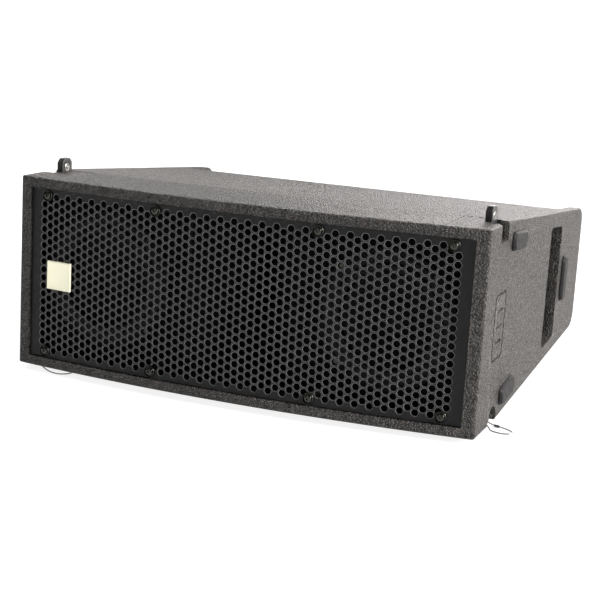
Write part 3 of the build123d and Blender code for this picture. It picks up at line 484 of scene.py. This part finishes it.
def lathe(rings, steps, place):
    """Points and faces of rings (radius, height, sides) turned about place's z; sides 6 is a hexagon."""
    points = []
    for radius, height, sides in rings:
        for i in range(steps):
            angle = 2 * pi * i / steps
            reach = radius
            if sides:
                part = (angle % (2 * pi / sides)) - pi / sides
                reach = radius * cos(pi / sides) / cos(part)
            points.append(place @ Vector((reach * cos(angle), reach * sin(angle), height)))
    return points, ring_faces(steps, len(rings))


def gathered(name, parts):
    """One object from several (points, faces) lists."""
    points, faces = [], []
    for part_points, part_faces in parts:
        base = len(points)
        points += part_points
        faces += [tuple(i + base for i in face) for face in part_faces]
    return face_out(from_points(name, points, faces))


# ---- Pull loops: free wire ropes --------------------------------------------------------------------
LOOP_POINTS = {
    "right": [(288.0, 87.0, -113.4), (297.0, 84.5, -116.3), (307.0, 83.0, -116.6), (316.0, 81.0, -117.6),
              (323.5, 75.0, -118.1), (319.0, 67.5, -118.7), (309.0, 66.3, -118.8), (297.5, 69.8, -118.5),
              (294.6, 76.0, -117.3), (288.0, 81.0, -114.0)],
    "left": [(-288.0, 87.0, -113.4), (-297.0, 84.5, -116.3), (-305.5, 79.0, -116.9), (-305.0, 65.0, -118.9),
             (-289.0, 49.0, -120.2), (-268.0, 31.0, -121.6), (-249.0, 17.0, -122.7), (-232.0, 13.5, -123.0),
             (-218.5, 25.0, -122.1), (-230.0, 44.0, -120.6), (-254.0, 56.0, -119.6), (-281.0, 61.0, -119.2),
             (-296.0, 67.0, -118.7), (-296.0, 76.0, -117.3), (-288.0, 81.0, -114.0)],
}
# Radius of the rope, in millimetres.
WIRE_R = 0.75


def loop_curve(side):
    """Round rope along the loop's points, both ends in the head of its pin."""
    curve = bpy.data.curves.new(f"{side}_wire_loop", "CURVE")
    curve.dimensions = "3D"
    curve.resolution_u = 8
    curve.bevel_depth = WIRE_R * MM
    curve.bevel_resolution = 3
    curve.use_fill_caps = True
    line = curve.splines.new("NURBS")
    line.points.add(len(LOOP_POINTS[side]) - 1)
    for spot, point in zip(line.points, LOOP_POINTS[side]):
        spot.co = (*at(*point), 1.0)
    line.order_u = 3
    line.use_endpoint_u = True
    return link(f"{side}_wire_loop", curve)


for side, sign in SIDES:
    wire = loop_curve(side)
    finish_piece(wire, f"{side}_quick_pin", "wire_rope", f"{side}_pull_loop")


# ---- Cabinet shell ----------------------------------------------------------------------------------
SLOPE = tan(WEDGE)


def wedge(skin=0.0, rear=0.0, front=-20.0):
    """Side outline in (y, z)."""
    flat = HALF_H - skin
    bend = LIP_Y - skin * tan(WEDGE / 2)
    back = REAR_Y - rear
    tail = flat - (back - bend) * SLOPE
    return [(front, -flat), (bend, -flat), (back, -tail), (back, tail), (bend, flat), (front, flat)]


def shell_outline():
    """The side outline with its rear corners rounded."""
    start = wedge()
    tail = start[3][1]
    inset = REAR_R * tan((pi / 2 - WEDGE) / 2)
    points = start[:2]
    for up in (-1, 1):
        centre = (REAR_Y - REAR_R, up * (tail - inset))
        arc = [(pi / 2 - WEDGE) * step / 10 for step in range(11)]
        swing = arc if up > 0 else list(reversed(arc))
        points += [(centre[0] + REAR_R * cos(a), centre[1] + up * REAR_R * sin(a)) for a in swing]
    return points + start[4:]


SLOT_Y, SLOT_HALF_Z, SLOT_CORNER_R = (325.0, 390.0), 79.5, 8.0
TOP_NOTCH, BOTTOM_NOTCH, NOTCH_D = (79.5, 31.0), (90.5, 34.0), 21.0
PANEL_X, PANEL_Y = -150.0, 413.0
POCKET_SIZE, WINDOW_SIZE = (122.0, 102.0), (100.0, 70.0)
TRAY_X, TRAY_Z = 70.25, (-72.25, 66.25)
REAR_CUT = (390.0, 440.0)
SIDE_CUT = (276.0, 300.0)
TUBE_POCKET_HALF, TUBE_POCKET_X = 15.0, (266.0, 282.0)
PLATE_RECESS_X, PLATE_RECESS_Y = (239.5, 278.4), (23.5, LIP_Y - 0.01)
FRONT_REACH = 330.0
EMBLEM_AT, ENGRAVED = (86.0, -1.0), 1.6
EMBLEM_OUTER, EMBLEM_INNER, EMBLEM_BAR = (46.0, 78.0, 6.0), (40.5, 72.5, 4.0), (25.0, 3.6, 1.6)
EMBLEM_BARS_Z = (-19.0, -1.0, 17.0)


def arc_corner(before, corner, after, radius, steps=6):
    """Points of the arc that rounds a corner."""
    corner = Vector(corner)
    run_in, run_out = (Vector(before) - corner).normalized(), (Vector(after) - corner).normalized()
    half = run_in.angle(run_out) / 2
    centre = corner + (run_in + run_out).normalized() * radius / sin(half)
    start = corner + run_in * radius / tan(half) - centre
    sweep = (pi - 2 * half) * (1 if run_in.cross(run_out) < 0 else -1)
    return [tuple(centre + Matrix.Rotation(sweep * step / steps, 2) @ start) for step in range(steps + 1)]


def filleted(corners, radius, steps=6):
    """Closed polygon with every corner rounded."""
    count = len(corners)
    return [point for i in range(count)
            for point in arc_corner(corners[i - 1], corners[i], corners[(i + 1) % count], radius, steps)]


def handle_slot():
    """Outline of the handle slot, its ends parallel to the cabinet's sloping edges."""
    (near, far), tall = SLOT_Y, SLOT_HALF_Z
    short = tall - (far - near) * SLOPE
    return filleted([(near, -tall), (far, -short), (far, short), (near, tall)], SLOT_CORNER_R)


def bottom_notch():
    """Finger notch with a round upper end, in (y, z)."""
    middle, width = BOTTOM_NOTCH
    top = -HALF_H + NOTCH_D - width / 2
    arc = [(middle + width / 2 * cos(a), top + width / 2 * sin(a)) for a in (pi * i / 14 for i in range(15))]
    return arc + [(middle - width / 2, -CLEAR_Z), (middle + width / 2, -CLEAR_Z)]


def emblem_cutters(sign):
    """Shallow engraving on a side panel: a plain frame with three level bars."""
    face = sorted((sign * (HALF_W - ENGRAVED), sign * (HALF_W + 2)))
    outer = prism("tool", rounded(*EMBLEM_OUTER, 5, EMBLEM_AT), "x", *face)
    inner = prism("tool", rounded(*EMBLEM_INNER, 5, EMBLEM_AT), "x", sign * (HALF_W - 3), sign * (HALF_W + 3))
    cut(outer, inner)
    return [outer] + [prism("tool", rounded(*EMBLEM_BAR, 4, (EMBLEM_AT[0], z)), "x", *face)
                      for z in EMBLEM_BARS_Z]


def cabinet_shell():
    """Box and its longer side panels as one body, with every opening and softened edges."""
    shell = prism("cabinet_shell", shell_outline(), "x", -HALF_W, HALF_W)
    reach = GRILLE_R + RIM_PROUD
    arc = [(x, GRILLE_R - sqrt(reach**2 - x**2)) for x in
           (-FRONT_REACH + 2 * FRONT_REACH * i / 66 for i in range(67))]
    cut(shell, prism("tool", arc + [(FRONT_REACH, -60), (-FRONT_REACH, -60)], "z", -CLEAR_Z, CLEAR_Z))
    soften(shell, 2.6, 4)
    tools = [prism("tool", wedge(SKIN_T, RECESS + REAR_T, front=-40), "x", -INNER_W, INNER_W),
             prism("tool", rect(CORE_Y, CLEAR_Y, -CLEAR_Z, CLEAR_Z), "x", -INNER_W, INNER_W),
             prism("tool", rect(-TRAY_X, TRAY_X, *TRAY_Z), "y", *REAR_CUT),
             prism("tool", rounded(*POCKET_SIZE, 2, 3, (PANEL_X, 0)), "y", PANEL_Y, REAR_CUT[1]),
             prism("tool", rounded(*WINDOW_SIZE, 2, 3, (PANEL_X, 0)), "y", *REAR_CUT)]
    for _, sign in SIDES:
        through, pocket, recess = (sorted(sign * x for x in span)
                                   for span in (SIDE_CUT, TUBE_POCKET_X, PLATE_RECESS_X))
        notch = rounded(TOP_NOTCH[1], 2 * NOTCH_D, 3, 5, (TOP_NOTCH[0], HALF_H))
        tube = rect(LINK_Y - TUBE_POCKET_HALF, LINK_Y + TUBE_POCKET_HALF, -CLEAR_Z, CLEAR_Z)
        tools.append(prism("tool", handle_slot(), "x", *through))
        tools.append(prism("tool", notch, "x", *through))
        tools.append(prism("tool", bottom_notch(), "x", *through))
        tools.append(prism("tool", tube, "x", *pocket))
        tools.append(prism("tool", rect(*PLATE_RECESS_Y, HALF_H - PLATE_T, HALF_H + 5), "x", *recess))
        tools += emblem_cutters(sign)
    cut(shell, *tools)
    soften(shell, 0.7, 2, 40)
    settle(shell)
    finish_piece(shell, "cabinet", "cabinet_paint", "top_panel", "bottom_panel", "rear_panel",
                 "left_side_panel", "right_side_panel")


cabinet_shell()


# ---- Perforated grille ------------------------------------------------------------------------------
PITCH = 10.0
COLUMN = PITCH * sqrt(3) / 2
HOLE = 3.95
SCREW_S, SCREW_Z = (101.5, 254.5), 96.0
SCREWS = [(sign * s, up * SCREW_Z) for s in SCREW_S for sign in (-1, 1) for up in (-1, 1)]
BADGE_X, BADGE_SIZE = -234.5, 35.0
RIM_WIDTH, RIM_DEPTH, ROUND_OFF = 0.75, 0.5, 0.06
COLUMNS, ROWS, OPEN_COLUMNS = 34, 13, 30
OPEN_Z = (96.0, 91.0)
SCREW_CLEAR = 5.6


def on_skin(s, z, lift=0.0):
    """Point at arc length s and height z on the grille's outer face, raised by lift."""
    turn = s / GRILLE_R
    reach = GRILLE_R + lift
    return (reach * sin(turn), GRILLE_R - reach * cos(turn), z)


def hexagon(s, z, reach, round_off=0.0):
    """Twelve points: a flat-topped hexagon whose corners are cut back by round_off."""
    points = []
    for i in range(12):
        angle = 2 * pi * i / 12
        corner = i % 2 == 0
        far = reach / cos(pi / 6) * (1 - round_off) if corner else reach
        points.append((s + far * cos(angle), z + far * sin(angle)))
    return points


def perforated_grille():
    """Curved sheet of hexagonal cells, each open one with a hole and a rim around it; the rim's faces carry a
    lighter coat, a painted highlight.
    """
    half_s = GRILLE_R * asin((INNER_W - GRILLE_GAP) / GRILLE_R)
    half_z = INNER_H - GRILLE_GAP
    points, faces, index = [], [], {}

    def spot(s, z, lift):
        """Index of a point, shared by the cells that meet there and kept on the sheet."""
        s, z = min(max(s, -half_s), half_s), min(max(z, -half_z), half_z)
        key = (round(s, 2), round(z, 2), round(lift, 2))
        if key not in index:
            index[key] = len(points)
            points.append([s, z, lift])
        return index[key]

    def strip(outer, inner):
        """Faces between two rings, without the ones that the sheet's edge flattens."""
        for i in range(len(outer)):
            j = (i + 1) % len(outer)
            face = [outer[i], outer[j], inner[j], inner[i]]
            if len(set(face)) > 2:
                faces.append(tuple(dict.fromkeys(face)))

    for column in range(-COLUMNS, COLUMNS + 1):
        odd = column % 2
        for row in range(-ROWS, ROWS):
            s, z = column * COLUMN, PITCH * (row if odd else row + 0.5)
            open_hole = abs(column) <= OPEN_COLUMNS and abs(z) < OPEN_Z[odd]
            if any(hypot(s - a, z - b) < SCREW_CLEAR for a, b in SCREWS):
                open_hole = False
            cell = hexagon(s, z, PITCH / 2)
            front = [spot(u, v, 0.0) for u, v in cell]
            back = [spot(u, v, -GRILLE_T) for u, v in cell]
            if open_hole:
                inner = hexagon(s, z, HOLE, ROUND_OFF)
                rim = [spot(u, v, 0.0) for u, v in hexagon(s, z, HOLE + RIM_WIDTH, ROUND_OFF)]
                lip = [spot(u, v, -RIM_DEPTH) for u, v in inner]
                end = [spot(u, v, -GRILLE_T) for u, v in inner]
                strip(front, rim)
                strip(rim, lip)
                strip(lip, end)
                strip(end, back)
            else:
                for ring, turn in ((front, 1), (back, -1)):
                    solid = list(dict.fromkeys(ring))
                    if len(solid) > 2:
                        faces.append(tuple(solid[::turn]))
    # The point nearest to each corner of the sheet moves into it.
    for su in (-1, 1):
        for sv in (-1, 1):
            for lift in (0.0, -GRILLE_T):
                near = min((p for p in points if p[2] == lift),
                           key=lambda p: hypot(p[0] - su * half_s, p[1] - sv * half_z))
                near[0], near[1] = su * half_s, sv * half_z
    made = from_points("perforated_grille", [on_skin(*p) for p in points], faces)
    mesh = bmesh.new()
    mesh.from_mesh(made.data)
    bmesh.ops.dissolve_degenerate(mesh, dist=0.01, edges=mesh.edges)
    open_edges = [e for e in mesh.edges if e.is_boundary]
    bmesh.ops.bridge_loops(mesh, edges=open_edges)
    bmesh.ops.recalc_face_normals(mesh, faces=mesh.faces)
    mesh.to_mesh(made.data)
    mesh.free()
    # A rim's faces lean: they point neither straight out of the sheet nor along it.
    # These leaning faces get the lighter coat: a painted highlight around each hole.
    rim_highlight_faces = []
    for face in made.data.polygons:
        turn = asin(face.center.x / GRILLE_R)
        rim_highlight_faces.append(int(0.3 < sin(turn) * face.normal.x - cos(turn) * face.normal.y < 0.95))
    settle(made, 35)
    finish_piece(made, "cabinet", "grille_coat", "grille")
    made.data.materials.append(PAINTED_RIM_HIGHLIGHT)
    made.data.polygons.foreach_set("material_index", rim_highlight_faces)


perforated_grille()


def skin_frame(s, z):
    """Frame on the grille's face: z out of it."""
    turn = s / GRILLE_R
    axes = Matrix(((cos(turn), 0, sin(turn)), (sin(turn), 0, -cos(turn)), (0, 1, 0))).to_4x4()
    return Matrix.Translation(on_skin(s, z)) @ axes


def screw_head(place, spin):
    """Domed head with a hexagon socket."""
    turned = place @ Matrix.Rotation(spin, 4, "Z")
    rings = [(2.0, -9.8, 0), (2.0, 1.2, 0), (4.3, 1.2, 0), (4.6, 1.45, 0), (4.55, 1.9, 0), (4.2, 2.6, 0),
             (3.4, 3.1, 0), (2.3, 3.35, 0), (1.9, 3.4, 6), (1.7, 3.3, 6), (1.7, 1.9, 6)]
    return lathe(rings, 36, turned)


def cup_washer(place):
    """Washer with a raised rim around the screw head."""
    rings = [(2.4, 0.02, 0), (6.8, 0.02, 0), (7.0, 0.2, 0), (7.0, 1.3, 0), (6.8, 2.1, 0), (6.45, 2.4, 0),
             (6.1, 2.3, 0), (5.5, 1.3, 0), (5.2, 0.5, 0), (2.4, 0.45, 0)]
    return lathe(rings, 36, place)


heads = gathered("grille_screw_heads",
                 [screw_head(skin_frame(s, z), 0.7 * i) for i, (s, z) in enumerate(SCREWS)])
finish_piece(settle(heads, 32), "cabinet", "dark_steel", "grille_screws")
cups = gathered("grille_cup_washers", [cup_washer(skin_frame(s, z)) for s, z in SCREWS])
finish_piece(settle(cups, 40), "cabinet", "dark_steel", "grille_washers")


def badge():
    """Square plate with a fine raised rim."""
    place = skin_frame(GRILLE_R * asin(BADGE_X / GRILLE_R), 0)
    rings = [(BADGE_SIZE, 0.02, 0.9), (BADGE_SIZE, 1.4, 0.9), (BADGE_SIZE - 0.5, 2.1, 0.8),
             (BADGE_SIZE - 1.1, 2.35, 0.7), (BADGE_SIZE - 3.0, 2.35, 0.5), (BADGE_SIZE - 3.6, 2.05, 0.4)]
    points = [place @ Vector((u, v, height)) for size, height, radius in rings
              for u, v in rounded(size, size, radius, 4)]
    made = gathered("badge_plaque", [(points, ring_faces(len(points) // len(rings), len(rings)))])
    finish_piece(settle(made, 40), "cabinet", "badge_plate", "badge")


badge()


# ---- Lining -----------------------------------------------------------------------------------------
PAD_Y, PAD_HALF, PAD_T = 212.0, (94.0, 74.0), 19.6
PAD_STAPLES = ((0, 0), (-0.55, -0.5), (-0.55, 0.5), (0.55, -0.5), (0.55, 0.5))


def lining_pad(side, sign):
    """Wadding pad glued to the side panel: crowned, pulled in at its edge and held down by five staples."""
    steps = 36
    points = []
    for layer in (0, 1):
        for i in range(steps + 1):
            for j in range(steps + 1):
                u, v = 2 * i / steps - 1, 2 * j / steps - 1
                corner = 1 - 0.035 * u * u * v * v
                y, z = PAD_Y + PAD_HALF[0] * u * corner, PAD_HALF[1] * v * corner
                crown = (1 - abs(u) ** 7) ** 0.4 * (1 - abs(v) ** 7) ** 0.4
                dents = sum(0.32 / (1 + 60 * ((u - a) ** 2 + (v - b) ** 2)) for a, b in PAD_STAPLES)
                swell = 0.93 + 0.05 * sin(9 * u + 2 * v) * cos(7 * v)
                lift = PAD_T * max(0.08, crown * (swell - dents)) if layer else 0.1
                points.append((sign * (INNER_W - lift), y, z))
    row = steps + 1
    faces = []
    for layer in (0, row * row):
        faces += [(a, a + 1, a + row + 1, a + row) for i in range(steps) for j in range(steps)
                  for a in [layer + i * row + j]]
    edge = [i * row for i in range(steps)] + [steps * row + j for j in range(steps)]
    edge += [i * row + steps for i in range(steps, 0, -1)] + list(range(steps, 0, -1))
    count = len(edge)
    faces += [(edge[i], edge[(i + 1) % count], edge[(i + 1) % count] + row * row, edge[i] + row * row)
              for i in range(count)]
    pad = gathered(f"{side}_lining_pad", [(points, faces)])
    finish_piece(settle(pad, 80), "cabinet", "lining_felt", "cabinet_lining")


for side, sign in SIDES:
    lining_pad(side, sign)


# ---- Bumpers ----------------------------------------------------------------------------------------
BUMPERS = ((144.0, 89.0, -WEDGE), (418.0, 0.0, pi / 2), (144.0, -89.0, WEDGE))


def bumper(sign, y, z, turn):
    """Rubber block: upright foot, chamfered shoulder and a slightly crowned face."""
    rings = [(60, 22, 8, 0.05), (60, 22, 8, 1.2), (59.2, 21.2, 7.8, 2.0), (56.6, 18.6, 7, 4.2),
             (55, 17, 6.4, 4.75), (52, 14, 5.5, 4.93), (40, 6, 2.5, 5.0)]
    points = [(sign * (HALF_W + lift), u, v) for width, height, radius, lift in rings
              for u, v in rounded(width, height, radius, 6, (y, z), turn)]
    return points, ring_faces(len(points) // len(rings), len(rings))


for side, sign in SIDES:
    pads = gathered(f"{side}_rubber_bumpers", [bumper(sign, *place) for place in BUMPERS])
    finish_piece(settle(pads, 25), "cabinet", "rubber", f"{side}_bumpers")


# ---- Front rigging ----------------------------------------------------------------------------------
LINK_RISE, LINK_LENGTH, LINK_CHAMFER, LINK_HOLE_R = 17.0, 90.0, 5.0, 4.2
LINK_GAP = (4.75, 11.56)
LINK_HOLE = (LINK_Y, HALF_H + PIN_RISE)
KNOB_R, HEAD_X, SHAFT_X = 5.5, 289.0, (266.4, 281.95)
REAR_PIN, REAR_HEAD_X, REAR_SHAFT_X = (386.0, -10.0), 22.0, (-13.0, 13.0)


def link_bar(side, sign):
    """Flat bar with a chamfered head and a cross hole."""
    top, foot = HALF_H + LINK_RISE, HALF_H + LINK_RISE - LINK_LENGTH
    near, far, shoulder = LINK_Y - LINK_WIDTH / 2, LINK_Y + LINK_WIDTH / 2, top - LINK_CHAMFER
    outline = [(near, foot), (far, foot), (far, shoulder), (far - LINK_CHAMFER, top),
               (near + LINK_CHAMFER, top), (near, shoulder)]
    middle = sign * LINK_X
    bar = prism(f"{side}_link_bar_steel", outline, "x", middle - LINK_T / 2, middle + LINK_T / 2)
    cut(bar, prism("tool", circle(LINK_HOLE_R, LINK_HOLE, 32), "x", middle - 9, middle + 9))
    soften(bar, 0.7, 3)
    finish_piece(settle(bar, 30), f"{side}_link", "rigging_coat", f"{side}_link_bar")


def link_bushing(side, sign):
    """Bare steel sleeve in the bar's cross hole."""
    place = Matrix.Translation((sign * LINK_X, *LINK_HOLE)) @ Matrix.Rotation(pi / 2, 4, "Y")
    half = LINK_T / 2
    rings = [(3.9, -half, 0), (4.6, -half - 0.15, 0), (4.9, -half + 0.1, 0),
             (4.9, half - 0.1, 0), (4.6, half + 0.15, 0), (3.9, half, 0)]
    points, faces = lathe(rings + rings[:1], 32, place)
    sleeve = face_out(gathered(f"{side}_link_bushing", [(points, faces[:-2])]), 0.001)
    finish_piece(settle(sleeve, 40), f"{side}_link", "bright_steel")


def corner_plate(side, sign):
    """Steel plate let into the top around the link bar."""
    low, high = sorted((sign * PLATE_X, sign * INNER_W))
    plate = prism(f"{side}_corner_plate_steel", rect(low, high, *PLATE_Y), "z", HALF_H - PLATE_T, HALF_H)
    middle, (gap_x, gap_y) = sign * LINK_X, LINK_GAP
    hole = rect(middle - gap_x, middle + gap_x, LINK_Y - gap_y, LINK_Y + gap_y)
    cut(plate, prism("tool", hole, "z", HALF_H - 9, HALF_H + 9))
    soften(plate, 0.5, 2)
    finish_piece(settle(plate, 30), "cabinet", "cabinet_paint", f"{side}_corner_plate")


def pin_frame(place, direction):
    """Frame on a pin's axis at the centre plane, its z along direction."""
    return Matrix.Translation((0, *place)) @ Matrix.Rotation(direction * pi / 2, 4, "Y")


def pin_steel(name, body, node, place, shaft, head_end, direction):
    """Shaft with a ball groove and a knurled head around the button's well."""
    base = pin_frame(place, direction)
    start, neck = shaft
    rings = [(3.2, start, 0), (4.0, start + 0.8, 0), (4.0, start + 2.6, 0), (3.7, start + 3.0, 0),
             (3.7, start + 3.6, 0), (4.0, start + 4.0, 0), (4.0, neck, 0), (5.0, neck, 0),
             (KNOB_R, neck + 0.5, 0)]
    step = (head_end - neck - 1.2) / 6
    for notch in range(6):
        low = neck + 0.6 + step * notch
        rings += [(KNOB_R, low, 0), (5.2, neck + 0.6 + step * (notch + 0.5), 0)]
    rings += [(KNOB_R, head_end - 0.6, 0), (5.0, head_end, 0), (2.95, head_end, 0),
              (2.9, head_end - 0.3, 0), (2.9, head_end - 4, 0)]
    steel = gathered(name, [lathe(rings, 32, base)])
    finish_piece(settle(steel, 35), body, "bright_steel", node)


def button(name, body, node, place, head_end, direction):
    """Dished release button."""
    base = pin_frame(place, direction)
    low = head_end - 1.2
    rings = [(2.5, low, 0), (2.5, low + 2.6, 0), (2.3, low + 3.0, 0), (1.8, low + 3.2, 0),
             (1.4, low + 3.05, 0)]
    made = gathered(name, [lathe(rings, 28, base)])
    finish_piece(settle(made, 35), body, "release_button", node)


for side, sign in SIDES:
    link_bar(side, sign)
    link_bushing(side, sign)
    corner_plate(side, sign)
    pin_steel(f"{side}_pin_steel", f"{side}_quick_pin", f"{side}_pin", PIN_PLACE, SHAFT_X, HEAD_X, sign)
    button(f"{side}_pin_knob", f"{side}_button", f"{side}_pin_button", PIN_PLACE, HEAD_X, sign)
pin_steel("rear_pin_steel", "rear_quick_pin", "rear_pin", REAR_PIN, REAR_SHAFT_X, REAR_HEAD_X, 1)
button("rear_pin_knob", "rear_button", "rear_pin_button", REAR_PIN, REAR_HEAD_X, 1)


# ---- Floor ------------------------------------------------------------------------------------------
FLOOR_REACH = 60.0
floor = from_points("floor", [(-1, -1, 0), (1, -1, 0), (1, 1, 0), (-1, 1, 0)], [(0, 1, 2, 3)])
floor.data.transform(Matrix.Scale(FLOOR_REACH, 4))
pale = Finish("pale_floor", Roughness=0.9)
pale.colour(pale.noise(3, 3), (0.29, 0.29, 0.29), (0.31, 0.31, 0.31))
pale.shader.inputs["Emission Color"].default_value = (1.0, 1.0, 1.0, 1.0)
pale.shader.inputs["Emission Strength"].default_value = 0.85
pale.shader.inputs["Specular IOR Level"].default_value = 0.1
floor.data.materials.append(pale.material)
